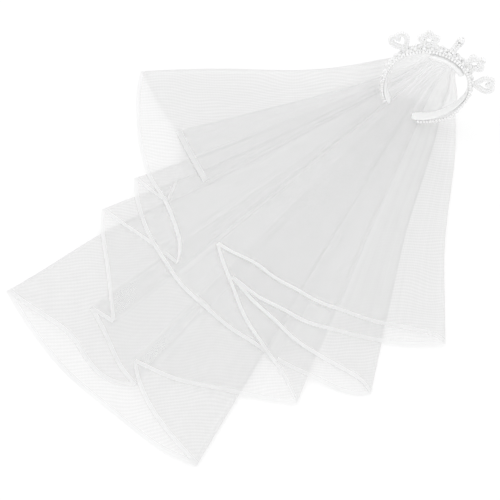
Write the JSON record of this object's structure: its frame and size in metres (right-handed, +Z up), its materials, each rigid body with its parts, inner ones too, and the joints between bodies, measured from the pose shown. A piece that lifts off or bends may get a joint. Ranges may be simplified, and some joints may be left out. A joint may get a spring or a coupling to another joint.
{
  "type": "bridal headband with veil",
  "caption": "C-shaped satin headband with pearl ornaments on the crown and a two-tier ribbon-edged organza veil gathered inside it, lying spread out in folds.",
  "frame": {"origin": "on the flat underside of the long tier's lowest layer, where the veil rests on the floor", "axes": "+Z up, -Y the way the veil lies spread out in front of the band, X along the band's width"},
  "size_m": [0.6681, 0.785, 0.209],
  "materials": {
    "satin": "padded satin",
    "lace": "beaded lace",
    "pearl": "pearl coated",
    "organza": "sheer stiff organza",
    "ribbon_satin": "satin ribbon"
  },
  "bodies": {
    "root": {"band": "satin", "lace_strip": "lace", "pearl_edge": "pearl", "ornament_heart_left": "pearl", "ornament_star_left": "pearl", "ornament_finial": "pearl", "ornament_star_right": "pearl", "ornament_heart_right": "pearl", "gather_strip": "satin", "veil_long": "organza", "veil_long_ribbon": "ribbon_satin", "veil_short": "organza", "veil_short_ribbon": "ribbon_satin", "veil_pleat": "organza", "veil_pleat_ribbon": "ribbon_satin"}
  },
  "joints": []
}
